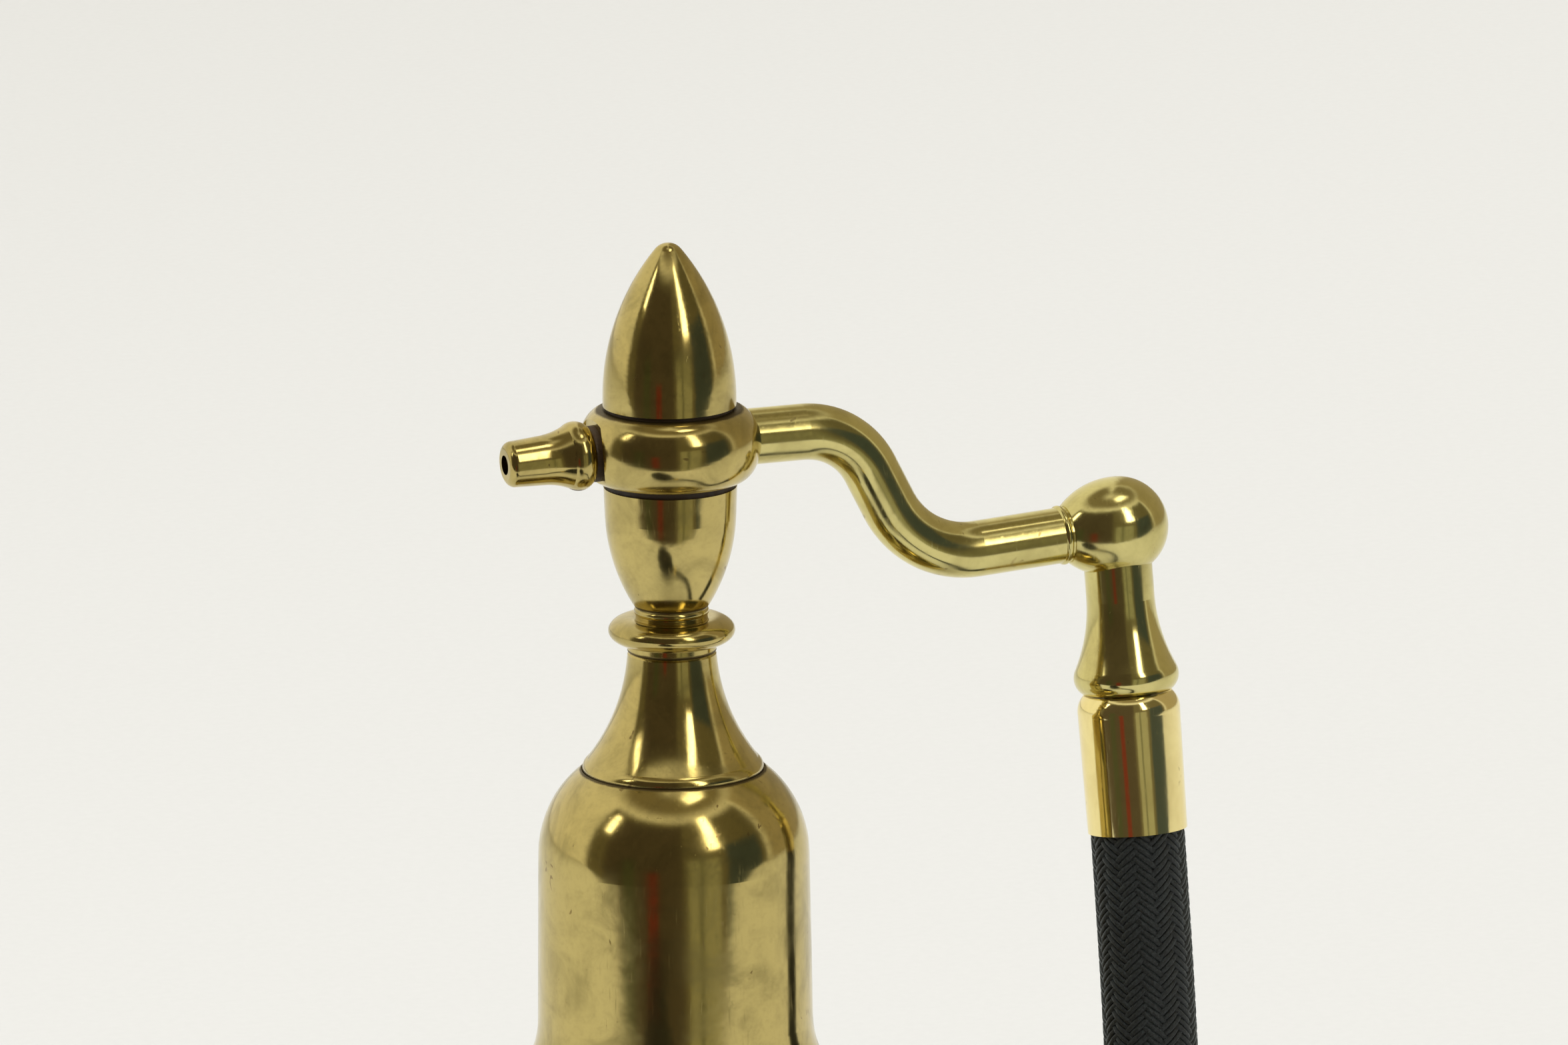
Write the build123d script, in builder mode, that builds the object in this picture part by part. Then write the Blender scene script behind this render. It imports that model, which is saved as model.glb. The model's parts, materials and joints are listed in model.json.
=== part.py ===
from build123d import *
import math
import os

# Table perfume atomiser in brass: a round bottle with a tall neck, a spray head that
# screws into it, a spray ring that swivels on the head's stem under an acorn nut, a
# nozzle on one side of the ring, a gooseneck air arm on the other, and a braided air
# hose with a rubber squeeze bulb that lies on the table.
# Frame: origin at the centre of the base on the table, +Z up along the stem, the air
# arm towards +X and the nozzle towards -X. Millimetres.

os.makedirs("parts", exist_ok=True)

# ---------------------------------------------------------------- driving dimensions
RUN_GAP = 0.06  # radial clearance of a running fit

# bottle
BODY_R = 30.0
BELLY_Z = 30.0  # where the two halves of the bottle are soldered
LOWER_ARC_R = 50.5
NECK_R = 11.5
NECK_TOP_R = 11.31
NECK_LOW_Z = 60.0
NECK_HIGH_Z = 74.1
FLARE_R = 8.0  # hollow curve from the neck to the shoulder
FLARE_SWEEP = 65.0
SHOULDER_R = 9.25  # round top of the neck
BOTTLE_WALL = 1.5
MOUTH_R = 7.0
RECESS_R = 7.65  # shallow seat around the mouth, for the cone's rim
RECESS_Z = 80.9
FLOOR_Z = 2.2
FOOT_R = 23.6
FELT_R = 19.4
FOOT_LIFT = 0.5  # the felt stands this far out of the foot ring

# screw between head and bottle
BUSH_BORE_R = 5.0
BUSH_LOW_Z = 73.6
GASKET_T = 0.4
SPIGOT_LOW_Z = 74.0

# spray head
STEM_R = 2.0
STEM_BORE_R = 1.0
STEM_LOW_Z = 72.0
SIPHON_LOW_Z = 5.5
SIPHON_BORE_R = 0.6
CONE_TOP_Z = 91.6
CONE_TOP_R = 3.71
CONE_RIM_R = 7.55
KNUCKLE_TOP_Z = 95.4
KNUCKLE_Z = 93.3
KNUCKLE_R = 5.28
CUP_TOP_R = 5.55

# spray ring, between its two washers
RING_Z = 109.1
RING_HALF_H = 3.03
RING_LOW_Z = RING_Z - RING_HALF_H
RING_TOP_Z = RING_Z + RING_HALF_H
CUP_TOP_Z = RING_LOW_Z - 0.5
RING_R = 7.57
RING_FLAT_R = 5.6
RING_BUSH_R = 4.0
GALLERY_R = 5.0
GALLERY_H = 2.8
JET_R = 0.5
JET_END = 13.2  # distance of the jet's tip from the stem's axis

# nozzle, along -X from the stem's axis
NOZZLE_SEAT = 6.6
NOZZLE_SEAT_R = 3.05
NOZZLE_BACK = 7.2
NOZZLE_TIP = 14.5
NOZZLE_HOLE_R = 0.82
NIPPLE_R = 1.7
NIPPLE_END = 10.3

# acorn nut
ACORN_BASE_Z = RING_TOP_Z + 0.3
ACORN_R = 5.55
OGIVE_R = 20.0
OGIVE_SWEEP = 39.0
THREAD_R = 1.6  # thin top of the stem, inside the acorn
THREAD_TOP_Z = 118.5

# air arm: straight runs in the XZ plane with bends of these radii
ARM_R = 2.35
ARM_BORE_R = 1.75
ARM_ROOT = (5.2, 0, RING_Z)
ARM_HIGH_CORNER = (15.85, 0, RING_Z)
ARM_LOW_CORNER = (21.81, 0, 97.38)
ARM_BEND_RADII = [6.8, 8.2]
BALL_CENTRE = Vector(40.0, 0, 98.52)
BALL_R = 4.2
BOSS_REACH = 4.75  # the ball is drawn out this far from its centre, to hold the arm
ELBOW_TOP = BALL_CENTRE - Vector(0.3, 0, 0)  # the elbow's axis passes beside the centre
DROP = Vector(0.028, -0.122, -0.9921).normalized()  # way down from the ball to the hose
BEAD_LOW = 4.95  # bead around the arm's end, from the ball's centre
ELBOW_BORE_R = 1.6
CROSS_BORE_R = 1.3  # bore that meets it from the arm
SOCKET_END = 14.0  # distances down from the ball's centre
FERRULE_TOP = 14.12
FERRULE_END = 25.8
FERRULE_R = 4.32
FERRULE_MOUTH_R = 4.2

# air hose
HOSE_R = 4.0
HOSE_BORE_R = 2.0
GLUE_GAP = 0.05  # around the hose in its ferrules and over its nipple
HOSE_START = 15.3
# the hose from inside its ferrule, down to the table and round to the bulb
HOSE_ROUTE = [
    (40.128, -1.867, 83.341),
    (40.722, -4.453, 62.309),
    (40.4, -7.2, 44.5),
    (41.5, -14.8, 28.6),
    (43.2, -28.0, 15.2),
    (43.4, -45.5, 6.8),
    (39.2, -63.6, 4.2),
    (29.0, -79.0, 4.05),
    (13.5, -88.5, 4.8),
    (-4.5, -92.0, 8.4),
    (-22.0, -91.0, 13.1),
]

# squeeze bulb, along its own axis from the hose's end
BULB_R = 22.0
BULB_WALL = 1.6
BULB_NECK_R = 5.2
BULB_END = 62.5
SLEEVE_R = 4.7
CHAMBER_R = 2.7
VALVE_T = 0.6

STEM_AXIS = Axis.Z
NOZZLE_TILT = math.radians(2.2)  # the nozzle droops a little
NOZZLE_AXIS = Axis((0, 0, RING_Z), (-math.cos(NOZZLE_TILT), 0, -math.sin(NOZZLE_TILT)))
ELBOW_AXIS = Axis(ELBOW_TOP, DROP)
ARM_END_DIR = (Vector(*ARM_LOW_CORNER) - BALL_CENTRE).normalized()
ARM_END_AXIS = Axis(BALL_CENTRE, ARM_END_DIR)
HOSE_END = Vector(*HOSE_ROUTE[-1])
BULB_DIR = (HOSE_END - Vector(*HOSE_ROUTE[-2])).normalized()
BULB_AXIS = Axis(HOSE_END, BULB_DIR)


def lathe_plane(axis):
    """Plane to draw a turned part on: x is the radius, y the distance along the axis."""
    along = axis.direction
    across = Vector(0, 1, 0) if abs(along.Y) < 0.9 else Vector(1, 0, 0)
    radial = along.cross(across).normalized()
    return Plane(origin=axis.position, x_dir=radial, z_dir=radial.cross(along))


def ring_section(inner, outer, low, high, mode=Mode.ADD):
    """Rectangular section of a ring, from one distance along the axis to another."""
    with Locations(((inner + outer) / 2, (low + high) / 2)):
        Rectangle(outer - inner, high - low, mode=mode)


def save(piece, label):
    piece.part.label = label
    export_step(piece.part, f"parts/{label}.step")
    pieces.append(piece.part)


pieces = []
nozzle_plane = lathe_plane(NOZZLE_AXIS)
elbow_plane = lathe_plane(ELBOW_AXIS)
arm_end_plane = lathe_plane(ARM_END_AXIS)
bulb_plane = lathe_plane(BULB_AXIS)


# ---------------------------------------------------------------- bottle
def upper_half_outline(inset):
    """Half section of the bottle from its belly to its mouth, drawn smaller by inset."""
    flare_centre = (NECK_R + FLARE_R, NECK_LOW_Z)
    flare_end_x = NECK_R + FLARE_R * (1 - math.cos(math.radians(FLARE_SWEEP)))
    flare_end_z = NECK_LOW_Z - FLARE_R * math.sin(math.radians(FLARE_SWEEP))
    shoulder = (BODY_R - flare_end_x) / (1 - math.cos(math.radians(FLARE_SWEEP)))
    shoulder_z = flare_end_z - shoulder * math.sin(math.radians(FLARE_SWEEP))
    top_centre = (NECK_TOP_R - SHOULDER_R, NECK_HIGH_Z)
    top_sweep = math.degrees(math.acos((MOUTH_R - top_centre[0]) / SHOULDER_R))
    with BuildLine() as outline:
        belly = Line((BODY_R - inset, BELLY_Z), (BODY_R - inset, shoulder_z))
        CenterArc((BODY_R - shoulder, shoulder_z), shoulder - inset, 0, FLARE_SWEEP)
        flare = CenterArc(flare_centre, FLARE_R + inset, 180 + FLARE_SWEEP, -FLARE_SWEEP)
        neck = Line(flare @ 1, (NECK_TOP_R - inset, NECK_HIGH_Z))
        top = CenterArc(top_centre, SHOULDER_R - inset, 0, top_sweep)
        Polyline(top @ 1, (0, (top @ 1).Y), (0, BELLY_Z), belly @ 0)
    make_face(outline.edges())


with BuildPart() as bottle_upper:
    with BuildSketch(Plane.XZ):
        upper_half_outline(0)
    revolve(axis=STEM_AXIS)
    with BuildSketch(Plane.XZ):
        upper_half_outline(BOTTLE_WALL)
    revolve(axis=STEM_AXIS, mode=Mode.SUBTRACT)
    with BuildSketch(Plane.XZ):
        ring_section(0, MOUTH_R, BELLY_Z, RECESS_Z)
        ring_section(0, RECESS_R, RECESS_Z, RECESS_Z + 5)
    revolve(axis=STEM_AXIS, mode=Mode.SUBTRACT)
save(bottle_upper, "bottle_upper")


def lower_half_outline(inset):
    """Half section of the bottle from its floor to its belly, drawn smaller by inset."""
    floor = FLOOR_Z + inset
    radius = LOWER_ARC_R - inset
    sweep = math.degrees(math.asin((BELLY_Z - floor) / radius))
    with BuildLine() as outline:
        wall = CenterArc((BODY_R - LOWER_ARC_R, BELLY_Z), radius, 0, -sweep)
        Polyline(wall @ 1, (0, floor), (0, BELLY_Z), wall @ 0)
    make_face(outline.edges())


with BuildPart() as bottle_lower:
    with BuildSketch(Plane.XZ):
        lower_half_outline(0)
    revolve(axis=STEM_AXIS)
    with BuildSketch(Plane.XZ):
        lower_half_outline(BOTTLE_WALL)
    revolve(axis=STEM_AXIS, mode=Mode.SUBTRACT)
save(bottle_lower, "bottle_lower")

with BuildPart() as foot_ring:
    with BuildSketch(Plane.XZ):
        ring_section(FELT_R, FOOT_R, FOOT_LIFT, FLOOR_Z)
    revolve(axis=STEM_AXIS)
    fillet(foot_ring.edges().filter_by(GeomType.CIRCLE).sort_by(SortBy.RADIUS)[-2:], 0.7)
save(foot_ring, "foot_ring")

with BuildPart() as base_felt:
    with BuildSketch(Plane.XY):
        Circle(FELT_R)
    extrude(amount=FLOOR_Z)
save(base_felt, "base_felt")

with BuildPart() as neck_bush:
    with BuildSketch(Plane.XZ):
        ring_section(BUSH_BORE_R, MOUTH_R, BUSH_LOW_Z, RECESS_Z)
    revolve(axis=STEM_AXIS)
    chamfer(neck_bush.edges().filter_by(GeomType.CIRCLE).sort_by(SortBy.RADIUS)[:2], 0.25)
save(neck_bush, "neck_bush")

# ---------------------------------------------------------------- head gasket
GASKET_TOP_Z = RECESS_Z + GASKET_T
with BuildPart() as neck_gasket:
    with BuildSketch(Plane.XZ):
        ring_section(BUSH_BORE_R + RUN_GAP, MOUTH_R - 0.1, RECESS_Z, GASKET_TOP_Z)
    revolve(axis=STEM_AXIS)
save(neck_gasket, "neck_gasket")

# ---------------------------------------------------------------- spray head
with BuildPart() as neck_cone:
    with BuildSketch(Plane.XZ):
        with BuildLine():
            side = ThreePointArc((CONE_TOP_R, CONE_TOP_Z - 0.3), (4.7, 86.7), (7.1, 82.35))
            rim = ThreePointArc(side @ 1, (7.42, 82.02), (CONE_RIM_R, 81.7))
            Polyline(
                rim @ 1,
                (CONE_RIM_R, GASKET_TOP_Z),
                (BUSH_BORE_R - RUN_GAP, GASKET_TOP_Z),
                (BUSH_BORE_R - RUN_GAP, SPIGOT_LOW_Z + 0.4),
                (BUSH_BORE_R - RUN_GAP - 0.4, SPIGOT_LOW_Z),
                (STEM_R, SPIGOT_LOW_Z),
                (STEM_R, CONE_TOP_Z),
                (CONE_TOP_R - 0.2, CONE_TOP_Z),
                side @ 0,
            )
        make_face()
    revolve(axis=STEM_AXIS)
save(neck_cone, "neck_cone")

with BuildPart() as knuckle_ring:
    with BuildSketch(Plane.XZ):
        ring_section(STEM_R, CONE_TOP_R, CONE_TOP_Z, KNUCKLE_Z)
        ring_section(STEM_R, 3.0, KNUCKLE_Z, KNUCKLE_TOP_Z)
        with Locations((3.4, KNUCKLE_Z)):
            Ellipse(KNUCKLE_R - 3.4, 1.15)
        with Locations((2.75, KNUCKLE_TOP_Z - 0.45)):
            Circle(0.38)
        ring_section(0, STEM_R, CONE_TOP_Z, KNUCKLE_TOP_Z, mode=Mode.SUBTRACT)
    revolve(axis=STEM_AXIS)
save(knuckle_ring, "knuckle_ring")

with BuildPart() as cup:
    with BuildSketch(Plane.XZ):
        with BuildLine():
            wall = Line((CUP_TOP_R, CUP_TOP_Z), (5.45, 103.0))
            bowl = ThreePointArc(wall @ 1, (4.85, 99.3), (3.3, 95.7))
            Polyline(
                bowl @ 1,
                (3.1, KNUCKLE_TOP_Z),
                (STEM_R, KNUCKLE_TOP_Z),
                (STEM_R, CUP_TOP_Z),
                wall @ 0,
            )
        make_face()
    revolve(axis=STEM_AXIS)
save(cup, "cup")

with BuildPart() as hollow_stem:
    with BuildSketch(Plane.XZ):
        ring_section(0, STEM_R, STEM_LOW_Z, RING_TOP_Z)
        ring_section(0, THREAD_R, RING_TOP_Z, THREAD_TOP_Z)
    revolve(axis=STEM_AXIS)
    with BuildSketch(Plane.XZ):
        ring_section(0, STEM_BORE_R, STEM_LOW_Z, RING_Z + 1.5)
        ring_section(STEM_R - 0.4, STEM_R, RING_Z - 0.6, RING_Z + 0.6)
    revolve(axis=STEM_AXIS, mode=Mode.SUBTRACT)
    with BuildSketch(Plane.YZ.offset(-STEM_R)):
        with Locations((0, RING_Z)):
            Circle(JET_R)
    extrude(amount=2 * STEM_R, mode=Mode.SUBTRACT)
save(hollow_stem, "hollow_stem")

with BuildPart() as siphon_tube:
    with BuildSketch(Plane.XZ):
        ring_section(SIPHON_BORE_R, STEM_BORE_R, SIPHON_LOW_Z, STEM_LOW_Z + 6)
    revolve(axis=STEM_AXIS)
save(siphon_tube, "siphon_tube")

with BuildPart() as lower_washer:
    with BuildSketch(Plane.XZ):
        ring_section(STEM_R, RING_FLAT_R - 0.2, CUP_TOP_Z, RING_LOW_Z)
    revolve(axis=STEM_AXIS)
save(lower_washer, "lower_washer")

# ---------------------------------------------------------------- spray ring
with BuildPart() as spray_ring:
    with BuildSketch(Plane.XZ):
        ring_section(RING_BUSH_R, RING_FLAT_R, RING_LOW_Z, RING_TOP_Z)
        with Locations((RING_FLAT_R, RING_Z)):
            Ellipse(RING_R - RING_FLAT_R, RING_HALF_H)
        gallery_low = RING_Z - GALLERY_H / 2
        ring_section(0, RING_BUSH_R, RING_LOW_Z, RING_TOP_Z, mode=Mode.SUBTRACT)
        ring_section(0, GALLERY_R, gallery_low, gallery_low + GALLERY_H, mode=Mode.SUBTRACT)
    revolve(axis=STEM_AXIS)
    with BuildSketch(nozzle_plane):
        ring_section(0, NIPPLE_R, GALLERY_R - 1, RING_R + 1)
        ring_section(0, NOZZLE_SEAT_R, NOZZLE_SEAT, RING_R + 1)
    revolve(axis=NOZZLE_AXIS, mode=Mode.SUBTRACT)
    with BuildSketch(Plane.YZ.offset(ARM_ROOT[0])):
        with Locations((0, RING_Z)):
            Circle(ARM_R)
    extrude(amount=5, mode=Mode.SUBTRACT)
save(spray_ring, "spray_ring")

with BuildPart() as ring_bush:
    with BuildSketch(Plane.XZ):
        ring_section(STEM_R + RUN_GAP, RING_BUSH_R, RING_LOW_Z, RING_TOP_Z)
    revolve(axis=STEM_AXIS)
    with BuildSketch(nozzle_plane):
        ring_section(0, JET_R, STEM_R - 0.5, RING_BUSH_R + 0.5)
    revolve(axis=NOZZLE_AXIS, mode=Mode.SUBTRACT)
save(ring_bush, "ring_bush")

with BuildPart() as jet_tube:
    with BuildSketch(nozzle_plane):
        ring_section(JET_R / 2, JET_R, STEM_R + RUN_GAP, JET_END)
    revolve(axis=NOZZLE_AXIS)
save(jet_tube, "jet_tube")

with BuildPart() as nozzle_nipple:
    with BuildSketch(nozzle_plane):
        ring_section(1.0, NIPPLE_R, GALLERY_R + 0.1, NIPPLE_END)
    revolve(axis=NOZZLE_AXIS)
    chamfer(nozzle_nipple.edges().filter_by(GeomType.CIRCLE).sort_by(Axis.X)[0], 0.2)
save(nozzle_nipple, "nozzle_nipple")

# ---------------------------------------------------------------- nozzle
with BuildPart() as nozzle_washer:
    with BuildSketch(nozzle_plane):
        ring_section(NIPPLE_R + RUN_GAP, 2.35, NOZZLE_SEAT, NOZZLE_BACK)
    revolve(axis=NOZZLE_AXIS)
save(nozzle_washer, "nozzle_washer")

with BuildPart() as nozzle_cap:
    with BuildSketch(nozzle_plane):
        with BuildLine():
            bead = ThreePointArc((2.4, NOZZLE_BACK), (2.88, 8.05), (2.6, 9.1))
            waist = ThreePointArc(bead @ 1, (2.23, 10.15), (2.05, 11.5))
            cone = Line(waist @ 1, (1.92, 13.75))
            nose = ThreePointArc(cone @ 1, (1.75, 14.25), (1.32, NOZZLE_TIP))
            Polyline(
                nose @ 1,
                (NOZZLE_HOLE_R, NOZZLE_TIP),
                (NOZZLE_HOLE_R, 13.5),
                (1.2, 13.0),
                (1.2, 11.0),
                (NIPPLE_R + RUN_GAP, NIPPLE_END + 0.2),
                (NIPPLE_R + RUN_GAP, NOZZLE_BACK),
                bead @ 0,
            )
        make_face()
    revolve(axis=NOZZLE_AXIS)
save(nozzle_cap, "nozzle_cap")

# ---------------------------------------------------------------- acorn nut
with BuildPart() as acorn_washer:
    with BuildSketch(Plane.XZ):
        ring_section(THREAD_R + RUN_GAP, RING_FLAT_R - 0.25, RING_TOP_Z, ACORN_BASE_Z)
    revolve(axis=STEM_AXIS)
save(acorn_washer, "acorn_washer")

with BuildPart() as acorn_nut:
    with BuildSketch(Plane.XZ):
        with BuildLine():
            foot = Line((ACORN_R, ACORN_BASE_Z), (ACORN_R, 113.0))
            side = CenterArc((ACORN_R - OGIVE_R, 113.0), OGIVE_R, 0, OGIVE_SWEEP)
            tip_r = (side @ 1).X / math.cos(math.radians(OGIVE_SWEEP))
            tip_z = (side @ 1).Y - tip_r * math.sin(math.radians(OGIVE_SWEEP))
            CenterArc((0, tip_z), tip_r, OGIVE_SWEEP, 90 - OGIVE_SWEEP)
            Polyline(
                (0, tip_z + tip_r),
                (0, THREAD_TOP_Z + 1.4),
                (THREAD_R + RUN_GAP, THREAD_TOP_Z + 0.4),
                (THREAD_R + RUN_GAP, ACORN_BASE_Z),
                foot @ 0,
            )
        make_face()
    revolve(axis=STEM_AXIS)
save(acorn_nut, "acorn_nut")

# ---------------------------------------------------------------- air arm and elbow
arm_end = BALL_CENTRE + ARM_END_DIR * 2.6
with BuildPart() as air_arm:
    with BuildLine():
        path = FilletPolyline(
            ARM_ROOT, ARM_HIGH_CORNER, ARM_LOW_CORNER, arm_end, radius=ARM_BEND_RADII
        )
    with BuildSketch(Plane(origin=path @ 0, z_dir=path % 0)):
        Circle(ARM_R)
        Circle(ARM_BORE_R, mode=Mode.SUBTRACT)
    sweep(path=path)
save(air_arm, "air_arm")

with BuildPart() as arm_bead:
    with BuildSketch(arm_end_plane):
        with BuildLine():
            ThreePointArc((ARM_R, BEAD_LOW), (ARM_R + 0.16, BEAD_LOW + 0.3), (ARM_R, BEAD_LOW + 0.6))
            Line((ARM_R, BEAD_LOW + 0.6), (ARM_R, BEAD_LOW))
        make_face()
    revolve(axis=ARM_END_AXIS)
save(arm_bead, "arm_bead")

with BuildPart() as ball_elbow:
    with BuildSketch(elbow_plane):
        with BuildLine():
            neck = Line((2.88, 0), (2.88, 6.2))
            flare = ThreePointArc(neck @ 1, (3.38, 9.6), (4.28, 12.0))
            lip = ThreePointArc(flare @ 1, (4.42, 12.95), (3.75, SOCKET_END))
            Polyline(lip @ 1, (0, SOCKET_END), (0, 0), neck @ 0)
        make_face()
    revolve(axis=ELBOW_AXIS)
    with BuildSketch(arm_end_plane):
        with BuildLine():
            ball = CenterArc((0, 0), BALL_R, -90, 90)
            boss = ThreePointArc(ball @ 1, (3.65, 2.9), (ARM_R + 0.1, BOSS_REACH))
            Polyline(boss @ 1, (0, BOSS_REACH), ball @ 0)
        make_face()
    revolve(axis=ARM_END_AXIS)
    with BuildSketch(elbow_plane):
        ring_section(0, ELBOW_BORE_R, 0, SOCKET_END)
    revolve(axis=ELBOW_AXIS, mode=Mode.SUBTRACT)
    with BuildSketch(arm_end_plane):
        ring_section(0, ARM_R, 2.6, BOSS_REACH + 1)
        ring_section(0, CROSS_BORE_R, 0, 3)
    revolve(axis=ARM_END_AXIS, mode=Mode.SUBTRACT)
save(ball_elbow, "ball_elbow")

with BuildPart() as hose_nipple:
    with BuildSketch(elbow_plane):
        ring_section(1.2, ELBOW_BORE_R, 9, SOCKET_END)
        ring_section(1.2, HOSE_BORE_R - GLUE_GAP, SOCKET_END, 24)
    revolve(axis=ELBOW_AXIS)
save(hose_nipple, "hose_nipple")

with BuildPart() as hose_ferrule:
    with BuildSketch(elbow_plane):
        with BuildLine():
            crown = ThreePointArc((3.75, FERRULE_TOP), (4.16, FERRULE_TOP + 0.6), (FERRULE_R, 15.8))
            Polyline(
                crown @ 1,
                (FERRULE_MOUTH_R, FERRULE_END),
                (HOSE_R + GLUE_GAP, FERRULE_END),
                (HOSE_R + GLUE_GAP, HOSE_START),
                (HOSE_BORE_R, HOSE_START),
                (HOSE_BORE_R, FERRULE_TOP),
                crown @ 0,
            )
        make_face()
    revolve(axis=ELBOW_AXIS)
save(hose_ferrule, "hose_ferrule")


# ---------------------------------------------------------------- air hose and bulb
def corner_radii(points):
    """The largest bend that each corner of a route has room for."""
    radii = []
    for before, corner, after in zip(points, points[1:], points[2:]):
        run_in = Vector(*corner) - Vector(*before)
        run_out = Vector(*after) - Vector(*corner)
        half_turn = math.radians(run_in.get_angle(run_out)) / 2
        radii.append(0.45 * min(run_in.length, run_out.length) / math.tan(half_turn))
    return radii


hose_radii = corner_radii(HOSE_ROUTE)
with BuildPart() as air_hose:
    with BuildLine():
        path = FilletPolyline(*HOSE_ROUTE, radius=hose_radii)
    hose_length = path.length
    with BuildSketch(Plane(origin=path @ 0, z_dir=path % 0)):
        Circle(HOSE_R)
        Circle(HOSE_BORE_R, mode=Mode.SUBTRACT)
    sweep(path=path)
save(air_hose, "air_hose")

with BuildPart() as bulb_connector:
    with BuildSketch(bulb_plane):
        ring_section(HOSE_R + GLUE_GAP, SLEEVE_R, -7.5, 0)
        ring_section(1.4, SLEEVE_R + 0.5, 0, 1.2)
        ring_section(1.4, 3.2, 1.2, 8)
    revolve(axis=BULB_AXIS)
save(bulb_connector, "bulb_connector")


def bulb_outline(inset, neck_r, end_r):
    """Half section of the egg-shaped bulb, drawn smaller by inset."""
    with BuildLine() as outline:
        neck = Line((neck_r, 1.2), (neck_r, 4.2 + inset))
        egg = Spline(
            neck @ 1,
            (9.6 - inset, 10.6 + inset / 2),
            (17.4 - inset, 19.6 + inset / 2),
            (BULB_R - inset, 35.5),
            (18.0 - inset, 50.5 - inset / 2),
            (end_r, BULB_END - 1.2 - inset),
            tangents=[(0, 1), (-1, 0.35)],
        )
        Polyline(egg @ 1, (end_r, BULB_END), (0, BULB_END), (0, 1.2), neck @ 0)
    make_face(outline.edges())


with BuildPart() as squeeze_bulb:
    with BuildSketch(bulb_plane):
        bulb_outline(0, BULB_NECK_R, 6.4)
    revolve(axis=BULB_AXIS)
    with BuildSketch(bulb_plane):
        bulb_outline(BULB_WALL, 3.2, 3.6)
    revolve(axis=BULB_AXIS, mode=Mode.SUBTRACT)
save(squeeze_bulb, "squeeze_bulb")

VALVE_SEAT = BULB_END - 1.4
with BuildPart() as valve_housing:
    with BuildSketch(bulb_plane):
        ring_section(CHAMBER_R, 3.6, BULB_END - 6, BULB_END)
        ring_section(1.0, 3.6, BULB_END - 7, BULB_END - 6)
        ring_section(0.8, 6.0, BULB_END, BULB_END + 1.4)
        ring_section(0.8, CHAMBER_R, VALVE_SEAT, BULB_END)
    revolve(axis=BULB_AXIS)
    rims = valve_housing.edges().filter_by(GeomType.CIRCLE).sort_by(SortBy.RADIUS)[-2:]
    fillet(rims.sort_by(BULB_AXIS)[-1], 0.9)
save(valve_housing, "valve_housing")

with BuildPart() as valve_disc:
    with BuildSketch(bulb_plane):
        ring_section(0, CHAMBER_R - 0.35, VALVE_SEAT - VALVE_T, VALVE_SEAT)
    revolve(axis=BULB_AXIS)
save(valve_disc, "valve_disc")

section = math.pi * (HOSE_R**2 - HOSE_BORE_R**2)
print("hose length", round(hose_length, 1))
print("hose radii", [round(radius, 1) for radius in hose_radii])
print("hose volume over section times length", round(air_hose.part.volume / section / hose_length, 4))
print("pieces", len(pieces))
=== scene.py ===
import json
import math

import bpy
import numpy as np
from mathutils import Matrix, Vector


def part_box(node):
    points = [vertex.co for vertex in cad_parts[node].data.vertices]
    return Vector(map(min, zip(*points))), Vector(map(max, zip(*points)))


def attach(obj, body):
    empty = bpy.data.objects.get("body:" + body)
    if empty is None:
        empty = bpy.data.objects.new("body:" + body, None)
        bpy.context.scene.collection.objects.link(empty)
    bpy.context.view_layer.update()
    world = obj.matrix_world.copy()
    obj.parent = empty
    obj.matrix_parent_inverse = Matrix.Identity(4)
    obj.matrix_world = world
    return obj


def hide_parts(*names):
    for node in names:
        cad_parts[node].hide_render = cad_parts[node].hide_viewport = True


# Looks of a brass table perfume atomiser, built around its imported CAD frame. Metres.

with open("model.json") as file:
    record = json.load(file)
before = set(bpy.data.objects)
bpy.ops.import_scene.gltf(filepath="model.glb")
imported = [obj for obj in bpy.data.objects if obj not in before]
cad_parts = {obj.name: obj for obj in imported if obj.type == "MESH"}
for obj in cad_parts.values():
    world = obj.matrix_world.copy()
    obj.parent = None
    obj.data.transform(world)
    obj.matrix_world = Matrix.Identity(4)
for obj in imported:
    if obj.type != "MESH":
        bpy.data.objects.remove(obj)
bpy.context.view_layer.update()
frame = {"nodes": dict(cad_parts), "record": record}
scene = bpy.context.scene
MM = 0.001

# ---------------------------------------------------------------- driving values
VIEW_AZIMUTH = -20.5  # degrees; the camera stands in front and to the left of the nozzle
VIEW_ELEVATION = 13.2
VIEW_ROLL = 0.45
VIEW_DISTANCE = 1.1
IMAGE_WIDTH = 2352
PIXELS_PER_METRE = 18100  # at the stem's axis
AIM_RIGHT = 9.39 * MM  # the view's centre, from the stem's axis at the cup's height
AIM_UP = 0.39 * MM
AIM_HEIGHT = 0.102
SENSOR = 36.0

HOSE_R = 4.0 * MM
HOSE_LENGTH = 0.1860
# the hose from inside its ferrule, down to the table and round to the bulb
HOSE_ROUTE = [
    (0.040128, -0.001867, 0.083341),
    (0.040722, -0.004453, 0.062309),
    (0.0404, -0.0072, 0.0445),
    (0.0415, -0.0148, 0.0286),
    (0.0432, -0.028, 0.0152),
    (0.0434, -0.0455, 0.0068),
    (0.0392, -0.0636, 0.0042),
    (0.029, -0.079, 0.00405),
    (0.0135, -0.0885, 0.0048),
    (-0.0045, -0.092, 0.0084),
    (-0.022, -0.091, 0.0131),
]


# ---------------------------------------------------------------- small helpers
def unit(azimuth, elevation):
    a, e = math.radians(azimuth), math.radians(elevation)
    return Vector((math.sin(a) * math.cos(e), -math.cos(a) * math.cos(e), math.sin(e)))


def add_object(name, data):
    obj = bpy.data.objects.new(name, data)
    scene.collection.objects.link(obj)
    return obj


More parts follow.
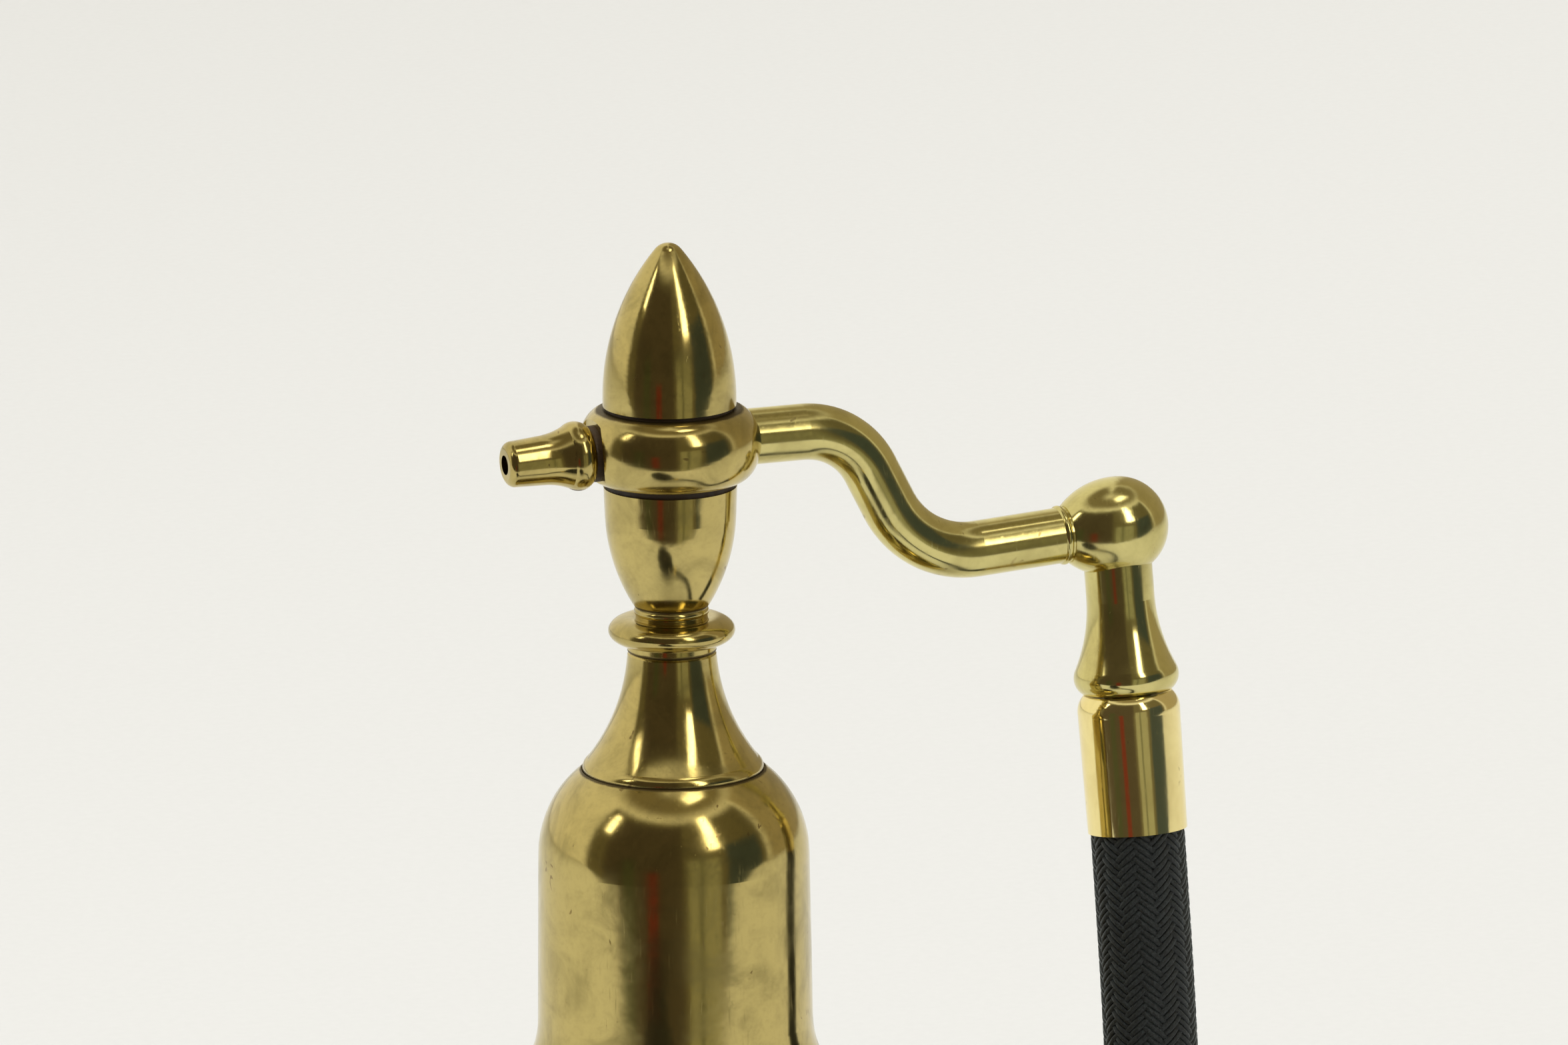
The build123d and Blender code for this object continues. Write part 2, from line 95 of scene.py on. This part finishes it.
def mesh_object(name, vertices, faces):
    mesh = bpy.data.meshes.new(name)
    mesh.from_pydata([tuple(v) for v in vertices], [], [tuple(f) for f in faces])
    mesh.polygons.foreach_set("use_smooth", [True] * len(mesh.polygons))
    mesh.update()
    return add_object(name, mesh)


# ---------------------------------------------------------------- camera
def make_camera():
    """Camera at the view's angle, aimed beside the stem so that the arm and hose fit in."""
    back = unit(VIEW_AZIMUTH, VIEW_ELEVATION)
    azimuth, roll = math.radians(VIEW_AZIMUTH), math.radians(VIEW_ROLL)
    level_right = Vector((math.cos(azimuth), math.sin(azimuth), 0))
    level_up = back.cross(level_right)
    right = level_right * math.cos(roll) - level_up * math.sin(roll)
    up = level_right * math.sin(roll) + level_up * math.cos(roll)
    data = bpy.data.cameras.new("camera")
    data.sensor_width = SENSOR
    data.lens = PIXELS_PER_METRE * VIEW_DISTANCE / IMAGE_WIDTH * SENSOR
    data.clip_start = 0.01
    data.clip_end = 20
    camera = add_object("camera", data)
    place = Matrix((right, up, back)).transposed().to_4x4()
    place.translation = (
        Vector((0, 0, AIM_HEIGHT)) + back * VIEW_DISTANCE + right * AIM_RIGHT + up * AIM_UP
    )
    camera.matrix_world = place
    scene.camera = camera


make_camera()


# ---------------------------------------------------------------- shader nodes
class Shader:
    """A node tree with short calls that add and link its nodes."""

    def __init__(self, tree):
        self.tree = tree
        tree.nodes.clear()

    def give(self, socket, value):
        if isinstance(value, bpy.types.NodeSocket):
            self.tree.links.new(value, socket)
        else:
            socket.default_value = value

    def node(self, kind, inputs=None, **settings):
        node = self.tree.nodes.new(kind)
        for setting, value in settings.items():
            setattr(node, setting, value)
        for socket, value in (inputs or {}).items():
            self.give(node.inputs[socket], value)
        return node

    def math(self, operation, *values):
        node = self.node("ShaderNodeMath", operation=operation)
        for socket, value in zip(node.inputs, values):
            self.give(socket, value)
        return node.outputs[0]

    def dot(self, vector, direction):
        node = self.node("ShaderNodeVectorMath", operation="DOT_PRODUCT")
        self.give(node.inputs[0], vector)
        self.give(node.inputs[1], direction)
        return node.outputs["Value"]

    def stretch(self, place, scale):
        """The place coordinates scaled along X, Y and Z."""
        return self.node("ShaderNodeMapping", {"Vector": place, "Scale": scale}).outputs[0]

    def noise(self, place, scale, detail=3.0, roughness=0.5, distortion=0.0):
        inputs = {
            "Vector": place,
            "Scale": scale,
            "Detail": detail,
            "Roughness": roughness,
            "Distortion": distortion,
        }
        return self.node("ShaderNodeTexNoise", inputs).outputs["Fac"]

    def fade(self, value, low, high, at_low=0.0, at_high=1.0):
        """Smooth step of a value between two limits."""
        inputs = {
            "Value": value,
            "From Min": low,
            "From Max": high,
            "To Min": at_low,
            "To Max": at_high,
        }
        return self.node(
            "ShaderNodeMapRange", inputs, interpolation_type="SMOOTHSTEP"
        ).outputs["Result"]

    def mix(self, amount, first, second):
        """Blend of two colours, each four numbers or a socket."""
        node = self.node("ShaderNodeMix", data_type="RGBA")
        self.give(node.inputs[0], amount)
        self.give(node.inputs[6], first)
        self.give(node.inputs[7], second)
        return node.outputs[2]

    def bump(self, height, depth, normal=None):
        inputs = {"Height": height, "Distance": depth, "Strength": 1.0}
        if normal is not None:
            inputs["Normal"] = normal
        return self.node("ShaderNodeBump", inputs).outputs["Normal"]

    def surface(self, inputs):
        shader = self.node("ShaderNodeBsdfPrincipled", inputs)
        self.node("ShaderNodeOutputMaterial", {"Surface": shader.outputs[0]})


def new_material(name):
    material = bpy.data.materials.new(name)
    material.use_nodes = True
    shader = Shader(material.node_tree)
    place = shader.node("ShaderNodeTexCoord").outputs["Object"]
    return material, shader, place


# ---------------------------------------------------------------- studio
SKY_WHITE = (0.9, 0.885, 0.875, 1)


def make_world():
    """Backdrop for the camera, and for reflections a room: a dark side in front with lamps."""
    world = bpy.data.worlds.new("studio")
    world.use_nodes = True
    scene.world = world
    s = Shader(world.node_tree)
    ray = s.node("ShaderNodeTexCoord").outputs["Generated"]
    azimuth = math.radians(VIEW_AZIMUTH)
    to_right = s.dot(ray, (math.cos(azimuth), math.sin(azimuth), 0))
    to_front = s.dot(ray, (math.sin(azimuth), -math.cos(azimuth), 0))
    around = s.math("DEGREES", s.math("ARCTAN2", to_right, to_front))
    above = s.math("DEGREES", s.math("ARCSINE", s.dot(ray, (0, 0, 1))))

    # each patch: azimuth and elevation limits seen from the object, edge softness, colour
    patches = [
        ((88, 181), (-50, 60), 8, (0.40, 0.34, 0.22)),
        ((-181, 181), (52, 91), 14, (0.24, 0.20, 0.12)),
        ((-84, 92), (-50, 56), 8, (0.15, 0.13, 0.075)),
        ((-66, 12), (-50, 50), 6, (0.085, 0.068, 0.046)),
        ((-48, -30), (-30, 14), 6, (0.07, 0.075, 0.04)),
        ((-24, -11), (-24, 2), 4, (0.17, 0.035, 0.022)),
        ((12, 42), (-50, 14), 3, (0.34, 0.33, 0.22)),
        ((21, 27), (-50, 16), 3, (0.14, 0.14, 0.085)),
        ((44, 84), (-50, 26), 5, (0.060, 0.075, 0.078)),
        ((30, 44), (20, 56), 3, (6.0, 5.6, 4.6)),
        ((-72, -62), (28, 48), 3, (5.0, 4.7, 3.9)),
        ((30, 90), (70, 82), 3, (4.0, 3.8, 3.2)),
    ]
    colour = (0.92, 0.88, 0.76, 1)
    for (left, right), (low, high), soft, patch in patches:
        across = s.math("MULTIPLY", s.fade(around, left, left + soft), s.fade(around, right, right - soft))
        upright = s.math("MULTIPLY", s.fade(above, low, low + soft), s.fade(above, high, high - soft))
        inside = s.math("MULTIPLY", across, upright)
        colour = s.mix(inside, colour, (*patch, 1))
    seen = s.node("ShaderNodeLightPath").outputs["Is Camera Ray"]
    sky = s.mix(seen, colour, SKY_WHITE)
    background = s.node("ShaderNodeBackground", {"Color": sky, "Strength": 1.0})
    s.node("ShaderNodeOutputWorld", {"Surface": background.outputs[0]})


def make_lamp(name, azimuth, elevation, distance, size, power):
    """Soft lamp aimed at the object, left out of reflections."""
    data = bpy.data.lights.new(name, "AREA")
    data.shape = "DISK"
    data.size = size
    data.energy = power
    lamp = add_object(name, data)
    direction = unit(azimuth, elevation)
    lamp.location = Vector((0, 0, 0.06)) + direction * distance
    lamp.rotation_mode = "QUATERNION"
    lamp.rotation_quaternion = direction.to_track_quat("Z", "Y")
    lamp.visible_glossy = False


FLOOR_FRONT = 0.2  # the floor ends this far in front of the stem
FLOOR_SIZE = 3.0


def make_floor():
    material, s, place = new_material("floor")
    grain = s.noise(place, 900, 2)
    s.surface(
        {
            "Base Color": s.mix(grain, (0.73, 0.75, 0.785, 1), (0.76, 0.78, 0.815, 1)),
            "Roughness": 0.85,
            "Specular IOR Level": 0.2,
            "Normal": s.bump(grain, 0.00002),
        }
    )
    azimuth = math.radians(VIEW_AZIMUTH)
    front = Vector((math.sin(azimuth), -math.cos(azimuth), 0))
    side = Vector((math.cos(azimuth), math.sin(azimuth), 0))
    near, far = front * FLOOR_FRONT, -front * FLOOR_SIZE
    half = side * FLOOR_SIZE
    floor = mesh_object("floor", [near - half, near + half, far + half, far - half], [(0, 1, 2, 3)])
    floor.data.materials.append(material)


scene.view_settings.view_transform = "Standard"
make_world()
make_floor()
make_lamp("key", VIEW_AZIMUTH - 40, 62, 1.5, 0.9, 11.0)
make_lamp("fill", VIEW_AZIMUTH + 150, 50, 1.7, 1.1, 9.5)


# ---------------------------------------------------------------- materials
def seam_grime(s, place, heights, reach):
    """Dark grime next to the seams at these heights, broken up by noise."""
    height = s.dot(place, (0, 0, 1))
    wander = s.math("MULTIPLY", s.noise(place, 700, 3, 0.7), reach)
    grime = 0.0
    for seam in heights:
        away = s.math("ABSOLUTE", s.math("SUBTRACT", height, seam))
        near = s.fade(s.math("SUBTRACT", away, wander), 0, reach, 1, 0)
        grime = s.math("MAXIMUM", grime, near)
    return grime


def brass(name, clean, tarnish, dirt=0.5, polish=0.12, seams=()):
    """Polished brass with tarnish clouds, dark spots, wiping scratches and a hand-finished wave."""
    material, s, place = new_material(name)
    clouds = s.fade(s.noise(place, 230, 5, 0.62, 0.6), 0.40, 0.72, 0, dirt)
    mottle = s.fade(s.noise(place, 1500, 4, 0.7), 0.45, 0.8, 0, 0.5 * dirt)
    spots = s.fade(s.noise(place, 620, 2, 0.4, 1.5), 0.71, 0.76, 0, dirt)
    colour = s.mix(clouds, clean, tarnish)
    colour = s.mix(mottle, colour, tarnish)
    colour = s.mix(spots, colour, (0.16, 0.09, 0.03, 1))
    rough = s.math("ADD", s.math("MULTIPLY_ADD", clouds, 0.14, polish), s.math("MULTIPLY", spots, 0.2))
    if seams:
        grime = seam_grime(s, place, seams, 0.13 * MM)
        colour = s.mix(s.math("MULTIPLY", grime, 0.85), colour, (0.05, 0.032, 0.015, 1))
        rough = s.math("MULTIPLY_ADD", grime, 0.35, rough)
    wiped = s.noise(s.stretch(place, (5200, 5200, 420)), 1.0, 2, 0.5)
    scratches = s.fade(wiped, 0.62, 0.74, 0, 0.10)
    rough = s.math("ADD", rough, scratches)
    wave = s.bump(s.noise(place, 95, 1.0, 0.4), 0.09 * MM)
    wave = s.bump(s.noise(place, 430, 2.0, 0.5), 0.009 * MM, wave)
    wave = s.bump(scratches, 0.002 * MM, wave)
    s.surface({"Base Color": colour, "Metallic": 1.0, "Roughness": rough, "Normal": wave})
    return material


def dark_leather(name):
    material, s, place = new_material(name)
    grain = s.noise(place, 1800, 4, 0.7)
    s.surface(
        {
            "Base Color": s.mix(grain, (0.020, 0.012, 0.007, 1), (0.075, 0.044, 0.022, 1)),
            "Roughness": s.fade(grain, 0.3, 0.7, 0.45, 0.75),
            "Normal": s.bump(grain, 0.04 * MM),
        }
    )
    return material


def yarn(name, dark, light, sheen=0.25):
    """Twisted black yarn: fine fibres, a little sheen."""
    material, s, place = new_material(name)
    fibre = s.noise(place, 5200, 3, 0.7)
    cloud = s.noise(place, 260, 2)
    tone = s.math("MULTIPLY", s.fade(fibre, 0.3, 0.75), s.fade(cloud, 0.2, 0.8, 0.55, 1))
    s.surface(
        {
            "Base Color": s.mix(tone, dark, light),
            "Roughness": 0.62,
            "Sheen Weight": sheen,
            "Sheen Roughness": 0.4,
            "Sheen Tint": (0.6, 0.72, 0.74, 1),
            "Normal": s.bump(fibre, 0.05 * MM),
        }
    )
    return material


def rubber(name):
    material, s, place = new_material(name)
    bloom = s.fade(s.noise(place, 160, 4, 0.6), 0.4, 0.75)
    pores = s.noise(place, 2400, 3, 0.6)
    s.surface(
        {
            "Base Color": s.mix(bloom, (0.012, 0.012, 0.013, 1), (0.030, 0.028, 0.027, 1)),
            "Roughness": s.fade(bloom, 0, 1, 0.38, 0.55),
            "Normal": s.bump(pores, 0.02 * MM),
        }
    )
    return material


def felt(name):
    material, s, place = new_material(name)
    fibres = s.noise(place, 3000, 5, 0.8, 2.0)
    s.surface(
        {
            "Base Color": s.mix(fibres, (0.010, 0.028, 0.016, 1), (0.035, 0.075, 0.045, 1)),
            "Roughness": 0.95,
            "Sheen Weight": 0.5,
            "Normal": s.bump(fibres, 0.15 * MM),
        }
    )
    return material


def top_of(node):
    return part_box(node)[1].z


def foot_of(node):
    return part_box(node)[0].z


SEAMS = [
    top_of("bottle_upper"),
    top_of("neck_cone"),
    top_of("knuckle_ring"),
    foot_of("spray_ring"),
    top_of("spray_ring"),
    top_of("bottle_lower"),
    foot_of("bottle_lower"),
]
GOLD = (0.56, 0.45, 0.165, 1)
OLIVE = (0.29, 0.235, 0.085, 1)
MATERIALS = {
    "aged_brass": brass("aged_brass", GOLD, OLIVE, 0.62, 0.11, SEAMS),
    "tube_brass": brass("tube_brass", (0.69, 0.61, 0.25, 1), (0.42, 0.35, 0.13, 1), 0.5, 0.12),
    "bright_brass": brass("bright_brass", (0.95, 0.81, 0.37, 1), (0.70, 0.54, 0.22, 1), 0.3, 0.09),
    "inner_brass": brass("inner_brass", (0.58, 0.47, 0.2, 1), OLIVE, 0.5, 0.24),
    "dark_washer": dark_leather("dark_washer"),
    "base_felt": felt("base_felt"),
    "black_braid": yarn("black_braid", (0.005, 0.006, 0.007, 1), (0.030, 0.039, 0.043, 1)),
    "black_rubber": rubber("black_rubber"),
}


def dress_frame():
    """Gives every CAD node the material of its slot in the record."""
    for part in frame["record"]["subparts"]:
        data = frame["nodes"][part["node"]].data
        data.materials.clear()
        data.materials.append(MATERIALS[part["material_slot"]])


dress_frame()


# ---------------------------------------------------------------- air hose
def route_curve(points):
    curve = bpy.data.curves.new("route", "CURVE")
    curve.dimensions = "3D"
    curve.resolution_u = 24
    spline = curve.splines.new("NURBS")
    spline.points.add(len(points) - 1)
    for control, point in zip(spline.points, points):
        control.co = (*point, 1)
    spline.order_u = 3
    spline.use_endpoint_u = True
    return curve


def route_line(points):
    """Points along the route's smooth spline."""
    obj = add_object("route", route_curve(points))
    mesh = bpy.data.meshes.new_from_object(obj)
    line = [v.co.copy() for v in mesh.vertices]
    bpy.data.objects.remove(obj)
    bpy.data.meshes.remove(mesh)
    return line


def resample(line, count):
    """Evenly spaced points on a line, as an array."""
    points = np.array([tuple(p) for p in line])
    steps = np.linalg.norm(np.diff(points, axis=0), axis=1)
    along = np.concatenate([[0], np.cumsum(steps)])
    wanted = np.linspace(0, along[-1], count)
    return np.stack([np.interp(wanted, along, points[:, k]) for k in range(3)], axis=1)


def directions(points):
    forward = np.gradient(points, axis=0)
    return forward / np.linalg.norm(forward, axis=1, keepdims=True)


def carried_frames(points):
    """Directions and two cross directions along a line, carried along without twist."""
    forward = directions(points)
    across = np.cross(forward[0], (0.0, 0.0, 1.0))
    if np.linalg.norm(across) < 0.1:
        across = np.cross(forward[0], (0.0, 1.0, 0.0))
    first = np.empty_like(points)
    for i, ahead in enumerate(forward):
        across = across - ahead * np.dot(across, ahead)
        across /= np.linalg.norm(across)
        first[i] = across
    return forward, first, np.cross(forward, first)


class MeshStack:
    """Collects tubes into one mesh."""

    def __init__(self):
        self.vertices, self.faces, self.count = [], [], 0

    def tube(self, points, normals, width, thick, sides):
        """Flattened tube along points: wide across the line, thin along the normals."""
        forward = directions(points)
        across = np.cross(forward, normals)
        across /= np.linalg.norm(across, axis=1, keepdims=True)
        out = np.cross(across, forward)
        turns = np.linspace(0, 2 * math.pi, sides, endpoint=False)
        ring = (
            points[:, None]
            + across[:, None] * (np.cos(turns)[None, :, None] * width / 2)
            + out[:, None] * (np.sin(turns)[None, :, None] * thick / 2)
        )
        count = len(points)
        start = self.count
        self.vertices.append(ring.reshape(-1, 3))
        row, side = np.meshgrid(np.arange(count - 1), np.arange(sides), indexing="ij")
        after, beside = row + 1, (side + 1) % sides
        quads = np.stack(
            [row * sides + side, row * sides + beside, after * sides + beside, after * sides + side],
            axis=-1,
        ).reshape(-1, 4)
        self.faces.extend((quads + start).tolist())
        self.faces.append([start + k for k in range(sides)][::-1])
        self.faces.append([start + (count - 1) * sides + k for k in range(sides)])
        self.count += count * sides

    def build(self, name, material):
        obj = mesh_object(name, np.concatenate(self.vertices), self.faces)
        obj.data.materials.append(material)
        return obj


BRAID_STRANDS = 16  # in each direction
BRAID_PITCH = 1.32 * MM  # between neighbouring stitches along the hose
STRAND_WIDTH = 1.0 * MM
STRAND_THICK = 0.5 * MM
STRAND_LIFT = 0.13 * MM  # how far it rises and sinks at each crossing
YARNS = 2  # side by side in each strand
STEPS_PER_TURN = 64
CORE_R = 3.3 * MM
CORE_POINTS = 240


def make_hose():
    """Rubber core with two sets of strands braided over it, following the route's spline."""
    line = route_line(HOSE_ROUTE)
    turns = HOSE_LENGTH / (BRAID_STRANDS * BRAID_PITCH)
    centre = resample(line, int(turns * STEPS_PER_TURN) + 1)
    forward, first, second = carried_frames(centre)
    core = resample(line, CORE_POINTS)
    stack = MeshStack()
    stack.tube(core, carried_frames(core)[1], 2 * CORE_R, 2 * CORE_R, 24)
    angle = np.linspace(0, 2 * math.pi * turns, len(centre))
    middle_r = HOSE_R - STRAND_LIFT - STRAND_THICK / 2
    slant = math.atan2(2 * math.pi * middle_r, BRAID_STRANDS * BRAID_PITCH)
    for hand in (1, -1):
        for strand in range(BRAID_STRANDS):
            turn = 2 * math.pi * strand / BRAID_STRANDS + hand * angle
            # over two strands of the other set, then under two
            crossing = BRAID_STRANDS / 2 * angle + hand * (math.pi * strand - math.pi / 4)
            lift = hand * STRAND_LIFT * np.clip(1.4 * np.cos(crossing), -1, 1)
            out = first * np.cos(turn)[:, None] + second * np.sin(turn)[:, None]
            beside = forward * math.sin(slant) - np.cross(forward, out) * hand * math.cos(slant)
            for yarn_index in range(YARNS):
                shift = (yarn_index - (YARNS - 1) / 2) * STRAND_WIDTH / YARNS
                points = centre + out * (middle_r + lift)[:, None] + beside * shift
                stack.tube(points, out, STRAND_WIDTH / YARNS * 1.1, STRAND_THICK, 6)
    hose = stack.build("braided_hose", MATERIALS["black_braid"])
    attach(hose, "collar")
    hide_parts("air_hose")
    return hose, core


# ---------------------------------------------------------------- squeeze bulb
# half outline of the bulb: radius, and distance from the hose's end along the bulb's axis
BULB_OUTLINE = [
    (5.2 * MM, 1.2 * MM),
    (5.2 * MM, 6.0 * MM),
    (11.5 * MM, 11.5 * MM),
    (19.7 * MM, 20.5 * MM),
    (21.4 * MM, 36.0 * MM),
    (19.6 * MM, 50.5 * MM),
    (12.0 * MM, 59.5 * MM),
    (6.2 * MM, 62.0 * MM),
]
NET_STRANDS = 22  # in each direction
NET_TURNS = 0.62  # of one strand between the bulb's ends
NET_THICK = 0.62 * MM
NET_LIFT = 0.18 * MM
NET_POINTS = 240
SKIN_ROUNDS = 72
SKIN_POINTS = 90
BINDING_TURNS = 5
BINDING_STEPS = 40  # points in each turn
BINDING_PITCH = 0.5 * MM
BINDING_THICK = 0.6 * MM
BINDINGS = [(5.5 * MM, 2.2 * MM), (8.6 * MM, 60.2 * MM)]  # radius, and where each one starts


def bulb_frame():
    """The hose's end, the bulb's axis and two directions across it."""
    end = np.array(HOSE_ROUTE[-1])
    along = end - np.array(HOSE_ROUTE[-2])
    along /= np.linalg.norm(along)
    across = np.cross(along, (0.0, 0.0, 1.0))
    across /= np.linalg.norm(across)
    return end, along, across, np.cross(along, across)


def bulb_line(count):
    """Radii and distances along the axis, evenly spaced on the bulb's outline."""
    outline = resample(route_line([(radius, 0, reach) for radius, reach in BULB_OUTLINE]), count)
    return outline[:, 0], outline[:, 2]


def make_bulb():
    """Rubber bulb, the net knitted over it, and the cord bound round both of its ends."""
    end, along, across, up = bulb_frame()

    def place(radius, reach, turn):
        out = across * np.cos(turn)[:, None] + up * np.sin(turn)[:, None]
        return end + along * reach[:, None] + out * radius[:, None], out

    radius, reach = bulb_line(SKIN_POINTS)
    grid = np.linspace(0, 2 * math.pi, SKIN_ROUNDS, endpoint=False)
    skin = [place(radius - NET_THICK, reach, np.full(SKIN_POINTS, turn))[0] for turn in grid]
    vertices = np.stack(skin).reshape(-1, 3)
    faces = []
    for i in range(SKIN_ROUNDS):
        here, beside = i * SKIN_POINTS, (i + 1) % SKIN_ROUNDS * SKIN_POINTS
        for j in range(SKIN_POINTS - 1):
            faces.append((here + j, beside + j, beside + j + 1, here + j + 1))
    rubber_bulb = mesh_object("rubber_bulb", vertices, faces)
    rubber_bulb.data.materials.append(MATERIALS["black_rubber"])

    stack = MeshStack()
    radius, reach = bulb_line(NET_POINTS)
    progress = np.linspace(0, 2 * math.pi * NET_TURNS, NET_POINTS)
    for hand in (1, -1):
        for strand in range(NET_STRANDS):
            turn = 2 * math.pi * strand / NET_STRANDS + hand * progress
            lift = hand * NET_LIFT * np.cos(NET_STRANDS * progress)
            points, out = place(radius - NET_THICK / 2 + lift, reach, turn)
            stack.tube(points, out, NET_THICK, NET_THICK, 6)
    steps = BINDING_TURNS * BINDING_STEPS
    turn = np.linspace(0, 2 * math.pi * BINDING_TURNS, steps)
    for wrap_r, low in BINDINGS:
        reach = np.linspace(low, low + BINDING_TURNS * BINDING_PITCH, steps)
        points, out = place(np.full(steps, wrap_r), reach, turn)
        stack.tube(points, out, BINDING_THICK, BINDING_THICK, 8)
    net = stack.build("bulb_net", MATERIALS["black_braid"])
    for piece in (rubber_bulb, net):
        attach(piece, "collar")
        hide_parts("squeeze_bulb")
    return [rubber_bulb, net]


braided_hose, hose_path = make_hose()
bulb_pieces = make_bulb()
